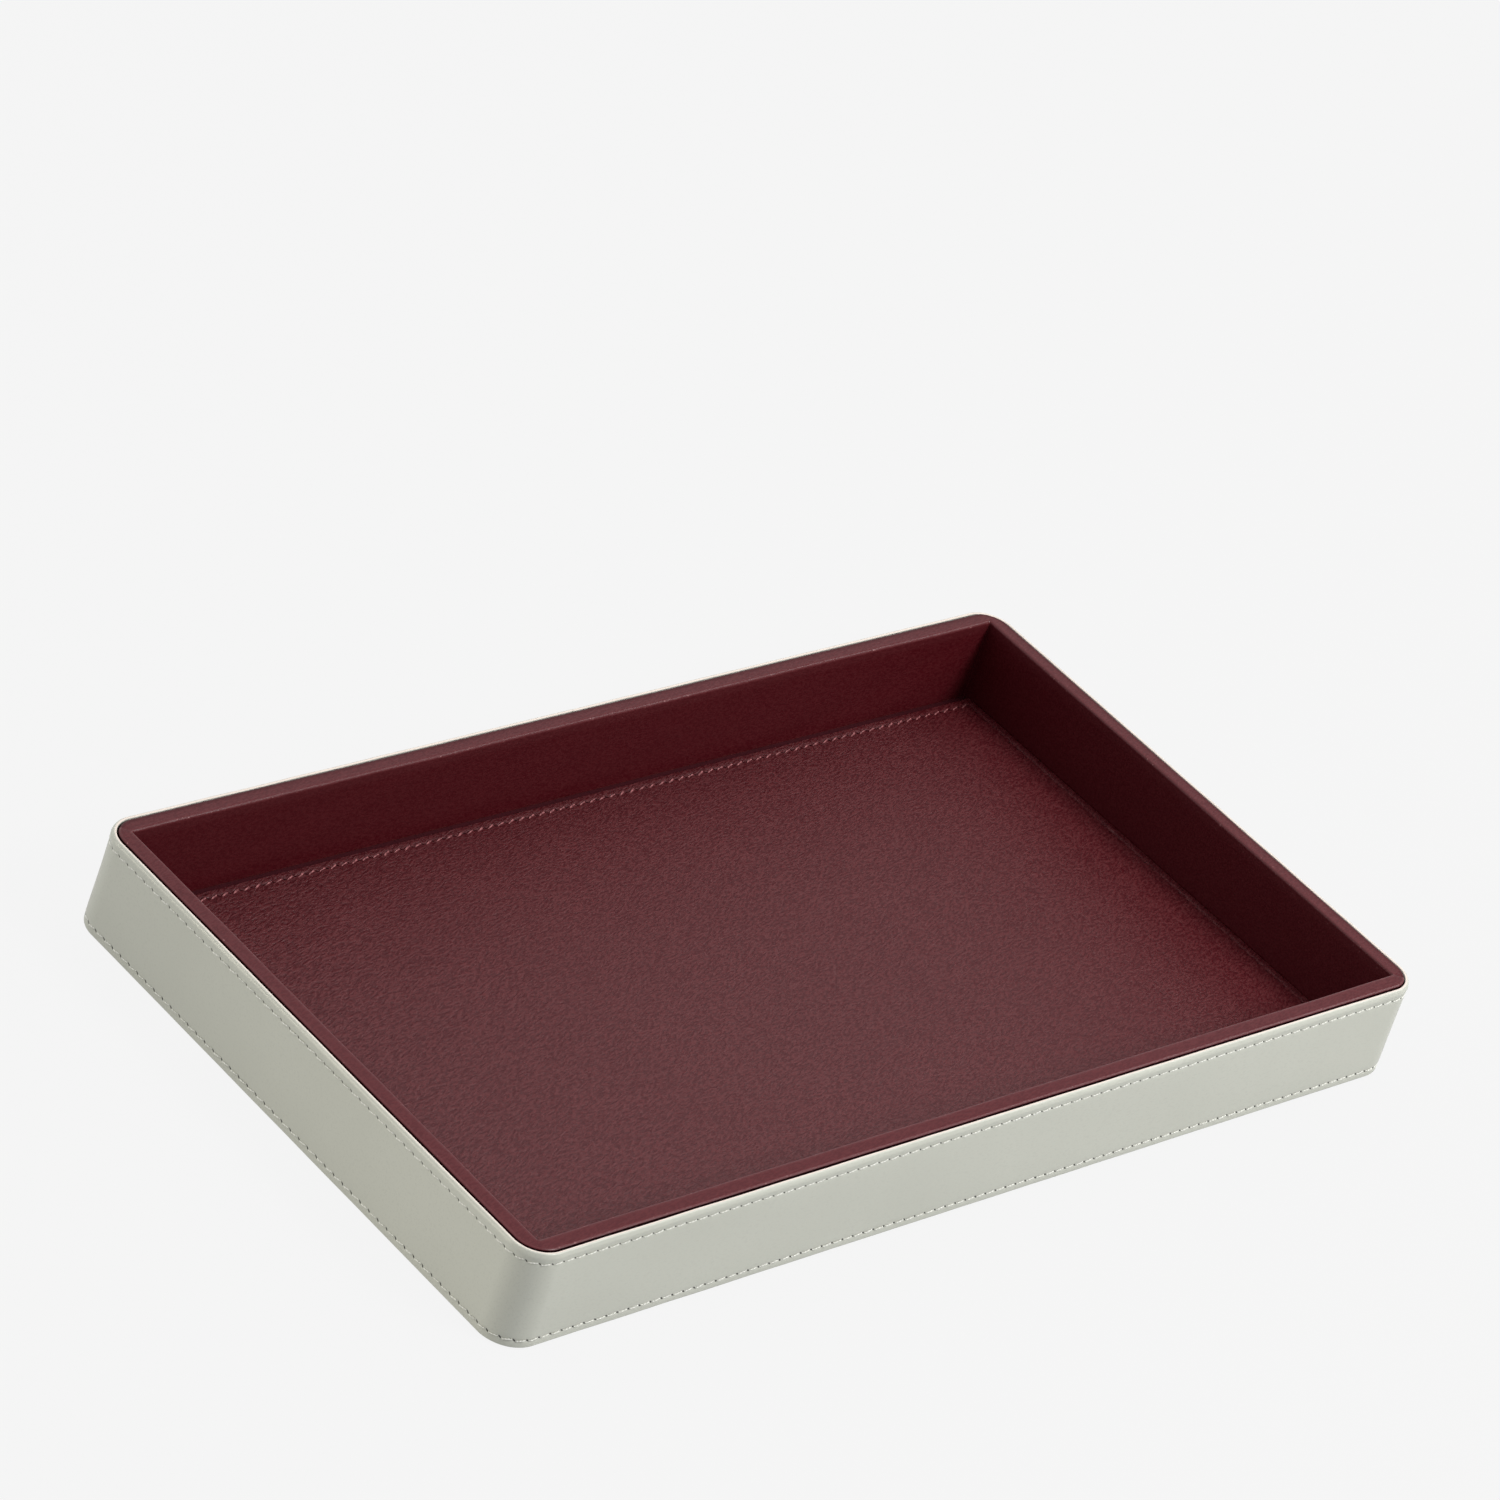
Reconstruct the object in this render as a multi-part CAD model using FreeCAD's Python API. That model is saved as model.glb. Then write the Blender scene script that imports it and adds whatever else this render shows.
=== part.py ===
import FreeCAD
import Part
import os
from math import sqrt

# A valet tray: a low tray with a fibreboard core, lined with burgundy leather and wrapped in one
# strip of bone-coloured leather that is turned over at both edges and sewn in two rows.
# The origin is the middle of the underside, +X runs along the long side and +Z is up.

# Whole tray
tray_length = 300.0
tray_width = 169.9
tray_height = 27.9
corner_radius = 9.3

# Outer band: leather folded over a stiffener at the top and the bottom, with its ends at the back
band_leather = 0.6
stiffener_thickness = 0.6
band_lift = 0.35
band_drop = 0.34
flap_gap = 1.0
seam_gap = 0.2

# Sewn rows: slanted stitches that lie in a pressed groove
stitch_pitch = 3.4
stitch_spacing = 0.5
stitch_slant_degrees = 8.0
thread_width = 0.6
thread_height = 0.45
thread_lift = 0.03
groove_width = 1.2
groove_depth = 0.3
band_lower_row_inset = 2.1
band_upper_row_inset = 2.9

# Wall linings: leather inside, over the rim and down the outside of each wall board
lining_thickness = 0.8
rim_inner_radius = 0.8
rim_outer_radius = 0.9

# Boards
wall_board_thickness = 3.1
base_board_thickness = 2.8

# Floor panel, which stops short of the back wall, and underside
floor_card_thickness = 0.4
floor_leather_thickness = 0.8
floor_edge_radius = 0.3
floor_clearance = 0.3
floor_back_gap = 2.3
floor_row_inset = 2.4
underside_thickness = 0.5
underside_margin = 0.3

# Cuts run past the faces that they open
overrun = 2.0
tolerance = 0.001

# Depths in from the outer face of the band
band_thickness = 2 * band_leather + stiffener_thickness
board_inset = band_thickness + lining_thickness
board_inner_inset = board_inset + wall_board_thickness
well_inset = board_inner_inset + lining_thickness

# Levels above the table
base_top = underside_thickness + base_board_thickness
card_top = base_top + floor_card_thickness
floor_top = card_top + floor_leather_thickness
board_top = tray_height - lining_thickness
band_top = tray_height - band_drop

UP = FreeCAD.Vector(0, 0, 1)


def outline(inset, level, opening=0.0):
    """Rounded rectangle at an inset from the band's outer face. It starts at the middle of the back.

    An opening leaves that much of the loop out, for the seam of the band.
    """
    x = tray_length / 2 - inset
    y = tray_width / 2 - inset
    radius = corner_radius - inset
    bend = radius * (1 - 1 / sqrt(2))

    def point(px, py):
        return FreeCAD.Vector(px, py, level)

    edges = []
    here = point(-opening / 2, y)
    for sx, sy, flat_first in ((-1, 1, True), (-1, -1, False), (1, -1, True), (1, 1, False)):
        on_long_side = point(sx * (x - radius), sy * y)
        on_short_side = point(sx * x, sy * (y - radius))
        middle = point(sx * (x - bend), sy * (y - bend))
        start, end = (on_long_side, on_short_side) if flat_first else (on_short_side, on_long_side)
        edges.append(Part.LineSegment(here, start).toShape())
        edges.append(Part.Arc(start, middle, end).toShape())
        here = end
    edges.append(Part.LineSegment(here, point(opening / 2, y)).toShape())
    return Part.Wire(edges)


def rounded_block(inset, bottom, top):
    """Solid block inside the rounded outline at one inset."""
    return Part.Face(outline(inset, bottom)).extrude(UP * (top - bottom))


def sharp_block(inset, bottom, top):
    """Solid block with square corners at one inset."""
    length = tray_length - 2 * inset
    width = tray_width - 2 * inset
    corner = FreeCAD.Vector(-length / 2, -width / 2, bottom)
    return Part.makeBox(length, width, top - bottom, corner)


def floor_block(inset, bottom, top):
    """Solid block at an inset from the edges of the floor panel."""
    length = tray_length - 2 * (well_inset + floor_clearance + inset)
    front = -tray_width / 2 + well_inset + floor_clearance + inset
    back = tray_width / 2 - well_inset - floor_back_gap - inset
    corner = FreeCAD.Vector(-length / 2, front, bottom)
    return Part.makeBox(length, back - front, top - bottom, corner)


def mitre_wedge(side):
    """Upright wedge between the mitre lines of one side, at 45 degrees through the well's corners."""
    inner_x = tray_length / 2 - well_inset - overrun
    inner_y = tray_width / 2 - well_inset - overrun
    outer_x = tray_length / 2 + overrun
    outer_y = tray_width / 2 + overrun
    if side in ("front", "back"):
        sign = -1 if side == "front" else 1
        flat = [(-inner_x, sign * inner_y), (inner_x, sign * inner_y)]
        flat += [(outer_x, sign * outer_y), (-outer_x, sign * outer_y)]
    else:
        sign = -1 if side == "left" else 1
        flat = [(sign * inner_x, -inner_y), (sign * inner_x, inner_y)]
        flat += [(sign * outer_x, outer_y), (sign * outer_x, -outer_y)]
    corners = [FreeCAD.Vector(x, y, -overrun) for x, y in flat]
    return Part.Face(Part.makePolygon(corners + corners[:1])).extrude(UP * (tray_height + 2 * overrun))


def edges_at(shape, level):
    """Edges of a shape that lie at one level."""
    found = []
    for edge in shape.Edges:
        box = edge.BoundBox
        if abs(box.ZMin - level) < tolerance and abs(box.ZMax - level) < tolerance:
            found.append(edge)
    return found


def level_edges(shape, level, inset):
    """Edges of a shape at one level that lie along one inset."""
    x = tray_length / 2 - inset
    y = tray_width / 2 - inset
    found = []
    for edge in edges_at(shape, level):
        box = edge.BoundBox
        along_x = abs(abs(box.YMin) - y) < tolerance and abs(abs(box.YMax) - y) < tolerance
        along_y = abs(abs(box.XMin) - x) < tolerance and abs(abs(box.XMax) - x) < tolerance
        if along_x or along_y:
            found.append(edge)
    return found


def band_section():
    """Section of the folded band leather: two turned edges, a flap behind each and two pressed grooves."""
    start = -seam_gap / 2
    back = tray_width / 2 - band_thickness
    front = tray_width / 2
    pocket_back = back + band_leather
    pocket_front = front - band_leather
    fold = band_thickness / 2
    crown = back + fold
    low = band_lift + fold
    high = band_top - fold
    flap_low = (low + high - flap_gap) / 2
    flap_high = (low + high + flap_gap) / 2
    groove = groove_width / 2

    def point(y, z):
        return FreeCAD.Vector(start, y, z)

    def line(*places):
        return Part.makePolygon([point(*place) for place in places]).Edges

    def round_edge(first, centre_level, side, last):
        through = (crown + fold / sqrt(2), centre_level + side * fold / sqrt(2))
        return [Part.Arc(point(*first), point(*through), point(*last)).toShape()]

    def row(level):
        bottom_of_groove = front - groove_depth
        return [(front, level + groove), (bottom_of_groove, level + groove),
                (bottom_of_groove, level - groove), (front, level - groove)]

    edges = line((back, flap_high), (back, high), (crown, band_top))
    edges += round_edge((crown, band_top), high, 1, (front, high))
    edges += line((front, high), *row(band_row_high), *row(band_row_low), (front, low))
    edges += round_edge((front, low), low, -1, (crown, band_lift))
    edges += line((crown, band_lift), (back, low), (back, flap_low))
    edges += line((back, flap_low), (pocket_back, flap_low), (pocket_back, low), (pocket_front, low))
    edges += line((pocket_front, low), (pocket_front, high), (pocket_back, high))
    edges += line((pocket_back, high), (pocket_back, flap_high), (back, flap_high))
    return Part.Wire(edges)


def stiffener_section():
    """Flat strip that fills the middle of the folded band, at the seam."""
    start = -seam_gap / 2
    inner = tray_width / 2 - band_thickness + band_leather
    outer = inner + stiffener_thickness
    low = band_lift + band_thickness / 2
    high = band_top - band_thickness / 2
    corners = ((inner, low), (outer, low), (outer, high), (inner, high), (inner, low))
    return Part.makePolygon([FreeCAD.Vector(start, y, z) for y, z in corners])


def round_the_tray(section):
    """Sweeps a section from one side of the back seam round the tray to the other."""
    path = outline(band_thickness, 0, seam_gap)
    return path.makePipeShell([section], True, False)


def one_stitch(length):
    """A ridge of thread that lies along X on the XY plane, turned by the slant of the stitch."""
    half = thread_width / 2
    corners = [FreeCAD.Vector(-length / 2, y, z) for y, z in ((-half, 0), (half, 0), (0, thread_height))]
    ridge = Part.Face(Part.makePolygon(corners + corners[:1])).extrude(FreeCAD.Vector(length, 0, 0))
    ridge.rotate(FreeCAD.Vector(), UP, stitch_slant_degrees)
    return ridge


def stitch_row(path, face_direction):
    """Stitches at an even pitch along a path, each lying square to the face that the path runs on.

    The face direction is a function of the direction of travel.
    """
    count = max(1, round(path.Length / stitch_pitch))
    stops = path.discretize(Number=2 * count + 1)
    stitch = one_stitch(path.Length / count - stitch_spacing)
    row = []
    for start, middle, end in zip(stops[0:-1:2], stops[1::2], stops[2::2]):
        along = (end - start).normalize()
        outward = face_direction(along)
        across = outward.cross(along)
        turn = FreeCAD.Rotation(along, across, outward, "ZXY")
        seat = FreeCAD.Placement(middle + outward * thread_lift, turn)
        placed = stitch.copy()
        placed.Placement = seat.multiply(stitch.Placement)
        row.append(placed)
    return row


def band_row(level):
    """Stitches round the band, in the groove at one level."""
    path = outline(groove_depth, level, seam_gap)
    return Part.makeCompound(stitch_row(path, lambda along: along.cross(UP)))


def floor_row():
    """Stitches round the floor panel, one straight row along each side."""
    groove_bottom = floor_top - groove_depth
    inside_row = floor_block(floor_row_inset, base_top, groove_bottom)
    rows = []
    for edge in edges_at(inside_row, groove_bottom):
        rows += stitch_row(Part.Wire(edge), lambda along: UP)
    return Part.makeCompound(rows)


def floor_panel():
    """Leather floor with softened top edges and the pressed groove of its sewn border."""
    panel = floor_block(0, card_top, floor_top)
    panel = panel.makeFillet(floor_edge_radius, edges_at(panel, floor_top))
    groove_bottom = floor_top - groove_depth
    groove = floor_block(floor_row_inset - groove_width / 2, groove_bottom, floor_top + overrun)
    island = floor_block(floor_row_inset + groove_width / 2, groove_bottom - overrun, floor_top + 2 * overrun)
    return panel.cut(groove.cut(island))


band_row_low = band_lift + band_lower_row_inset
band_row_high = band_top - band_upper_row_inset

parts = {
    "underside_cover": rounded_block(band_thickness + underside_margin, 0, underside_thickness),
    "base_board": rounded_block(board_inset, underside_thickness, base_top),
    "floor_card": sharp_block(well_inset + floor_clearance, base_top, card_top),
    "floor_leather": floor_panel(),
    "outer_band": round_the_tray(band_section()),
    "band_stiffener": round_the_tray(stiffener_section()),
    "band_top_stitching": band_row(band_row_high),
    "band_bottom_stitching": band_row(band_row_low),
    "floor_stitching": floor_row(),
}

# The wall frame and its leather are made as whole rings and then cut along the mitres.
well = sharp_block(well_inset, base_top, tray_height + overrun)
board_ring = rounded_block(board_inset, base_top, board_top)
board_ring = board_ring.cut(sharp_block(board_inner_inset, base_top - overrun, board_top + overrun))
lining_ring = rounded_block(band_thickness, underside_thickness, tray_height)
lining_ring = lining_ring.makeFillet(rim_outer_radius, level_edges(lining_ring, tray_height, band_thickness))
lining_ring = lining_ring.cut(rounded_block(board_inset, underside_thickness - overrun, base_top))
lining_ring = lining_ring.cut(board_ring).cut(well)

for side in ("front", "back", "left", "right"):
    wedge = mitre_wedge(side)
    lining = lining_ring.common(wedge)
    lining = lining.makeFillet(rim_inner_radius, level_edges(lining, tray_height, well_inset))
    parts[side + "_wall_board"] = board_ring.common(wedge)
    parts[side + "_wall_lining"] = lining

os.makedirs("parts", exist_ok=True)
for name, shape in parts.items():
    shape.exportStep("parts/" + name + ".step")
    print(name, "solids", len(shape.Solids), "volume", round(shape.Volume, 1), "valid", shape.isValid())
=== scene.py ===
import bpy
import numpy as np
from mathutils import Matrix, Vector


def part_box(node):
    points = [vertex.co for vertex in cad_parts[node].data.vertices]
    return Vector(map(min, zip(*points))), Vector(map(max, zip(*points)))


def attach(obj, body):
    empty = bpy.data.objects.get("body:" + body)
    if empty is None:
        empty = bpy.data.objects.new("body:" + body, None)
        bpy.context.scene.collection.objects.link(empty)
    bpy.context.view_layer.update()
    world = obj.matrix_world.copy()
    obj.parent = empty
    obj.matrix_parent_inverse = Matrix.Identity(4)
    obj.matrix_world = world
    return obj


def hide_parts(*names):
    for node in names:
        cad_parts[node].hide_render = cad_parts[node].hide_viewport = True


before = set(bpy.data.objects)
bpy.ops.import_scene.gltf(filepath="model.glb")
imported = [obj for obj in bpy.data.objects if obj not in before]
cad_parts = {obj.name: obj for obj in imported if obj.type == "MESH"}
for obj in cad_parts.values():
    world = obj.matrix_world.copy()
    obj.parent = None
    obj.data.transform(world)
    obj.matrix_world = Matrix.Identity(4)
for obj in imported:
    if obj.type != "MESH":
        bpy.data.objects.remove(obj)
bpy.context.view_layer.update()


# The core is a thin fibreboard base with four mitred strips of the same board glued on it as walls.
# It carries everything and none of it shows: pale brown pressed fibre with darker flecks.

class Wire:
    """One output of a material's nodes. Sums, differences and products of wires add Math nodes."""

    def __init__(self, tree, socket):
        self.tree = tree
        self.socket = socket

    def node(self, kind, settings, inputs, output=0):
        """Adds a node: its settings first, then a value or a wire for each input. Gives one output."""
        made = self.tree.nodes.new(kind)
        for name, value in settings.items():
            setattr(made, name, value)
        for key, value in inputs.items():
            if isinstance(value, Wire):
                self.tree.links.new(value.socket, made.inputs[key])
            else:
                made.inputs[key].default_value = value
        return Wire(self.tree, made.outputs[output])

    def maths(self, operation, *values):
        return self.node("ShaderNodeMath", {"operation": operation}, dict(enumerate(values)))

    def __add__(self, other):
        return self.maths("ADD", self, other)

    def __sub__(self, other):
        return self.maths("SUBTRACT", self, other)

    def __rsub__(self, other):
        return self.maths("SUBTRACT", other, self)

    def __mul__(self, other):
        return self.maths("MULTIPLY", self, other)

    __radd__ = __add__
    __rmul__ = __mul__

    def axis(self, name):
        """One of the three coordinates, X, Y or Z."""
        return self.node("ShaderNodeSeparateXYZ", {}, {0: self}, name)

    def mark(self, name):
        """A named value that the mesh carries at its points."""
        return self.node("ShaderNodeAttribute", {"attribute_name": name}, {}, "Fac")

    def step(self, low, high):
        """Rises smoothly from 0 at low to 1 at high, or falls where low is the larger."""
        ends = {"Value": self, "From Min": low, "From Max": high}
        return self.node("ShaderNodeMapRange", {"interpolation_type": "SMOOTHSTEP"}, ends)

    def tint(self, none, full):
        """Colour that goes from none to full as this wire goes from 0 to 1."""
        return self.node("ShaderNodeMix", {"data_type": "RGBA"}, {0: self, 6: none, 7: full}, 2)

    def noise(self, size, detail=2.0):
        """Soft noise about 0.5 on these coordinates, with lumps of that size in metres."""
        return self.node("ShaderNodeTexNoise", {}, {"Vector": self, "Scale": 1 / size, "Detail": detail})

    def bump(self, strength, depth):
        """Normal of a surface that this height raises by up to depth in metres."""
        return self.node("ShaderNodeBump", {}, {"Height": self, "Strength": strength, "Distance": depth})


def new_finish(name):
    """A material with its shader, and a wire that carries Object coordinates."""
    material = bpy.data.materials.new(name)
    material.use_nodes = True
    tree = material.node_tree
    place = Wire(tree, tree.nodes.new("ShaderNodeTexCoord").outputs["Object"])
    return material, tree.nodes["Principled BSDF"], place


def feed(shader, inputs):
    """Sets or links each named input of a shader."""
    for name, value in inputs.items():
        if isinstance(value, Wire):
            value.tree.links.new(value.socket, shader.inputs[name])
        else:
            shader.inputs[name].default_value = value


mm = 0.001


def pressed_fibre(name, pale, dark, fleck_size, shine=0.5):
    """Raw board: a fine noise between two colours, with a matching slight roughness of the face."""
    material, shader, place = new_finish(name)
    fibres = place.noise(fleck_size, 6.0)
    flecks = fibres.step(0.42, 0.68)
    feed(shader, {
        "Base Color": flecks.tint(pale, dark),
        "Roughness": 0.78 + flecks * 0.15,
        "Specular IOR Level": shine,
        "Normal": fibres.bump(0.4, 0.1 * mm),
    })
    return material


def finish_node(name, material):
    """Gives a node of the frame its material."""
    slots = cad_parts[name].data.materials
    slots.clear()
    slots.append(material)


fibreboard = pressed_fibre("fibreboard", (0.44, 0.31, 0.19, 1), (0.27, 0.18, 0.10, 1), 1.2 * mm)
sides = ("front", "right", "back", "left")
for board in ["base_board"] + [side + "_wall_board" for side in sides]:
    finish_node(board, fibreboard)


# The floor card is a thin sheet that the floor leather is glued on. It lies on the base board, and shows
# only as a dark strip along the back wall, where the leather stops short. Its dark red colour is painted
# shade for that strip.

painted_shade_card = pressed_fibre("painted_shade_card", (0.040, 0.004, 0.007, 1), (0.028, 0.003, 0.005, 1), 0.6 * mm, 0.1)
finish_node("floor_card", painted_shade_card)


# The wall linings are four strips of burgundy leather glued up the inside of each wall, over the rim and down
# the outside. They meet in mitres at the corners. The rim's two edges are a little paler, partly from wear
# and partly as a painted highlight, and the outer edge is darkened as painted shade.

band_low, band_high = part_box("outer_band")
front_low, front_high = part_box("front_wall_lining")
tray_length = band_high.x - band_low.x
tray_width = band_high.y - band_low.y
band_top = band_high.z
corner_radius = 9.3 * mm
band_thickness = front_low.y - band_low.y
well_inset = front_high.y - band_low.y
lining_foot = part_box("base_board")[1].z
lining_hem = front_low.z
rim_top = front_high.z
lining_thickness = 0.8 * mm
rim_inner_radius = 0.85 * mm
rim_outer_radius = 1.15 * mm
rim_crown = 0.03 * mm
mitre_crease = 0.06 * mm
well_corner_radius = 0.3 * mm
left_thicker = 0.17 * mm
right_thinner = 0.2 * mm
# Painted shade on the rim's outer edge, by places along the leather in mm: on the front and left only in the
# gap behind the band, on the back and right from 1 mm inside the rim, as those edges face away from the
# lamps.
near_shade_knots = (0.84, 0.96), (0, 1)
far_shade_knots = (-1.0, -0.3, 0, 0.4, 0.9, 1.2), (0, 0.18, 0.3, 0.42, 0.8, 1)
# Paler tone of the rim edges: partly wear, partly painted highlight.
wear_and_highlight_tone = (0.134, 0.039, 0.042, 1)
speck_tone = (0.36, 0.17, 0.17, 1)
# Dark matt colour of the painted shade.
painted_shade_tone = (0.007, 0.0015, 0.002, 1)
quarter_turn = np.array([[0, 1, 0], [-1, 0, 0], [0, 0, 1]])


def lay_tubes(name, points, material, replaced, marks=None):
    """One mesh of closed tubes on the root body.

    The points are an array of tubes by rings by places round the ring. Faces join each place to the next one
    and each ring to the next, and a flat face closes each end. Faces are turned over if they point inwards:
    the sum over the faces of (corner . (next corner x third corner)) is then negative. Marks are named values
    for every point, which the material reads.
    """
    smooth_degrees = 40.0
    tubes, rings, places = points.shape[:3]
    index = np.arange(tubes * rings * places).reshape(tubes, rings, places)
    ahead = np.roll(index, -1, axis=2)
    quads = np.stack([index[:, :-1], index[:, 1:], ahead[:, 1:], ahead[:, :-1]], axis=-1).reshape(-1, 4)
    first_caps = index[:, 0]
    last_caps = index[:, -1, ::-1]
    flat = points.reshape(-1, 3)
    a, b, c, d = (flat[quads[:, k]] for k in range(4))
    volume = (np.cross(a, b) * c).sum() + (np.cross(a, c) * d).sum()
    if volume < 0:
        quads = quads[:, ::-1]
        first_caps = first_caps[:, ::-1]
        last_caps = last_caps[:, ::-1]
    corners = np.concatenate([quads.ravel(), first_caps.ravel(), last_caps.ravel()]).astype(np.int32)
    sizes = np.concatenate([np.full(len(quads), 4), np.full(2 * tubes, places)]).astype(np.int32)
    mesh = bpy.data.meshes.new(name)
    mesh.vertices.add(len(flat))
    mesh.vertices.foreach_set("co", flat.astype(np.float32).ravel())
    mesh.loops.add(len(corners))
    mesh.loops.foreach_set("vertex_index", corners)
    mesh.polygons.add(len(sizes))
    mesh.polygons.foreach_set("loop_start", (np.cumsum(sizes) - sizes).astype(np.int32))
    mesh.update(calc_edges=True)
    mesh.polygons.foreach_set("use_smooth", np.ones(len(sizes), bool))
    mesh.set_sharp_from_angle(angle=np.radians(smooth_degrees))
    for mark, values in (marks or {}).items():
        layer = mesh.attributes.new(mark, "FLOAT", "POINT")
        layer.data.foreach_set("value", values.astype(np.float32).ravel())
    mesh.materials.append(material)
    piece = bpy.data.objects.new(name, mesh)
    bpy.context.scene.collection.objects.link(piece)
    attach(piece, "root")
    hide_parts(replaced)


def waver(distance, seed, length, height):
    """Slow hand-made unevenness: three sine waves with seeded phases, near that length and height."""
    draw = np.random.default_rng(seed)
    lengths = length * draw.uniform(0.55, 1.7, 3)
    phases = draw.uniform(0, 2 * np.pi, 3)
    waves = [np.sin(2 * np.pi * distance / wave + phase) for wave, phase in zip(lengths, phases)]
    return height * sum(waves) / 2


def arc(centre, radius, first_degrees, last_degrees, count):
    """Points on a circle from one angle to another."""
    angle = np.radians(np.linspace(first_degrees, last_degrees, count))
    return np.stack([centre[0] + radius * np.cos(angle), centre[1] + radius * np.sin(angle)], axis=1)


def run(first, last, count):
    """Evenly spaced points between two ends, both left out."""
    share = np.linspace(0, 1, count + 2)[1:-1, None]
    return np.array(first) * (1 - share) + np.array(last) * share


def lining_section(shade_knots):
    """Section of a lining as (inset from the band's outer face, height), clockwise round the leather.

    It runs up the inner wall, round the inner rim edge, over the rim, round the outer edge, down the outside,
    and back along the glued side of the leather. Two marks go with it: the paler rim edges, partly wear and
    partly painted highlight, and painted shade on the outer edge where it goes down behind the band and on
    the glued side, and on the back and right also over the rim's outer part. The shade knots give places
    along the leather in millimetres, from where the rim starts to bend down, and the painted shade at each.
    """
    inner_centre = (well_inset - rim_inner_radius, rim_top - rim_inner_radius)
    outer_centre = (band_thickness + rim_outer_radius, rim_top - rim_outer_radius)
    glued_outside = band_thickness + lining_thickness
    glued_inside = well_inset - lining_thickness
    glued_top = rim_top - lining_thickness
    foot = (well_inset, lining_foot)
    wall = np.vstack([[foot], run(foot, (well_inset, inner_centre[1]), 16)])
    inner_edge = arc(inner_centre, rim_inner_radius, 0, 90, 9)
    rim = run((inner_centre[0], rim_top), (outer_centre[0], rim_top), 8)
    outer_edge = arc(outer_centre, rim_outer_radius, 90, 180, 19)
    rest = np.array([
        (band_thickness, (rim_top + lining_hem) / 2), (band_thickness, lining_hem),
        (glued_outside, lining_hem), (glued_outside, glued_top),
        (glued_inside, glued_top), (glued_inside, lining_foot),
    ])
    # Paler rim edges, partly wear and partly painted highlight where the lamps catch them.
    inner_wear_and_highlight = np.sin(np.linspace(0.3, np.pi - 0.3, len(inner_edge)))
    outer_wear_and_highlight = np.sin(np.pi * np.clip((np.linspace(0, 90, len(outer_edge)) - 4) / 46, 0, 1))
    wear_and_highlight = np.concatenate([
        np.zeros(len(wall) - 1), [0.3], inner_wear_and_highlight,
        [0.15], np.zeros(len(rim) - 1), outer_wear_and_highlight, np.zeros(len(rest)),
    ])
    section = np.vstack([wall, inner_edge, rim, outer_edge, rest])
    # Painted shade on the outer edge and on the unseen glued side.
    painted_edge_shade = np.zeros(len(section))
    round_edge = rim_outer_radius * np.linspace(0, np.pi / 2, len(outer_edge))
    past_bend = np.concatenate([outer_centre[0] - rim[:, 0], round_edge])
    painted_edge_shade[len(wall) + len(inner_edge):-len(rest)] = np.interp(past_bend / mm, *shade_knots)
    painted_edge_shade[-len(rest):] = 1
    return section, wear_and_highlight, painted_edge_shade


def settle(x):
    """Shifts places along the length, because the left wall came out thicker and the right one thinner.

    The shift is straight between its knots: none at the outside, most at the well's walls, and none again at
    the fade's distance from them.
    """
    outer = tray_length / 2 - band_thickness
    inner = tray_length / 2 - well_inset
    fade = 40 * mm
    knots = np.array([-outer, -inner, -inner + fade, inner - fade, inner, outer])
    return x + np.interp(x, knots, np.array([0, left_thicker, 0, 0, right_thinner, 0]))


def lining_points(along_half, across_half, seed, shade_knots):
    """Points of the front lining of a tray of those half sizes, from its left mitre to its right one.

    At inset i the lining follows a straight run at distance (across half - i) that ends in half of a corner
    arc. The arc's radius r falls evenly from the band's at the outside to nearly nothing in the well:
    x = c (along half - i - r) + r sin t and y = -(across half - i - r) - r cos t, with c from -1 to 1 on the
    run and t from 45 degrees to 0 on an arc. The rim's crown, the crease at the mitres and a waver follow.
    """
    section, wear_and_highlight, painted_edge_shade = lining_section(shade_knots)
    ring_spacing = 0.5 * mm
    crease_width = 0.45 * mm
    unseen_points = 5
    straight = np.linspace(-1, 1, int(along_half / ring_spacing))
    turn = np.radians(np.linspace(45, 0, 11)[:-1])
    c = np.concatenate([-np.ones(len(turn)), straight, np.ones(len(turn))])[:, None]
    t = np.concatenate([-turn, np.zeros(len(straight)), turn[::-1]])[:, None]
    inset, height = section.T
    depth_share = (inset - band_thickness) / (well_inset - band_thickness)
    radius = (corner_radius - band_thickness) * (1 - depth_share) + well_corner_radius * depth_share
    x = c * (along_half - inset - radius) + radius * np.sin(t)
    y = -(across_half - inset - radius) - radius * np.cos(t)
    z = np.broadcast_to(height, x.shape).copy()
    shown = (height > lining_foot) & (np.arange(len(height)) < len(height) - unseen_points)
    to_mitre = np.abs(np.abs(x).max(axis=0) - np.abs(x))
    crease = mitre_crease * np.exp(-(to_mitre / crease_width) ** 2)
    on_rim = np.clip((height - (rim_top - rim_inner_radius)) / rim_inner_radius, 0, 1) * shown
    z += on_rim * (rim_crown * depth_share + waver(x, seed, 60 * mm, 0.04 * mm) - crease)
    inner = shown & (inset > well_inset - 2 * rim_inner_radius)
    y -= inner * waver(x + 3 * z, seed + 50, 45 * mm, 0.06 * mm)
    marks = {"wear_and_highlight": np.broadcast_to(wear_and_highlight, x.shape), "painted_edge_shade": np.broadcast_to(painted_edge_shade, x.shape)}
    return np.stack([x, y, z], axis=-1), marks


def leather_grain(place, cell):
    """Wrinkled grain: rounded lumps about that size with creases between them, and finer pores on them.

    Both are soft noises on coordinates that are drawn out near the length of the tray and turned, so that
    their grid doesn't line up with it.
    """
    lie = {"Vector": place, "Rotation": (0, 0, 0.3), "Scale": (2.6, 1, 1)}
    drawn = place.node("ShaderNodeMapping", {"vector_type": "TEXTURE"}, lie)
    turn = {"Vector": drawn, "Rotation": (0.7, 0.5, 0.3)}
    turned = place.node("ShaderNodeVectorRotate", {"rotation_type": "EULER_XYZ"}, turn)
    return turned.noise(cell, 2.0), turned.noise(cell * 0.4, 2.0)


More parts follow.
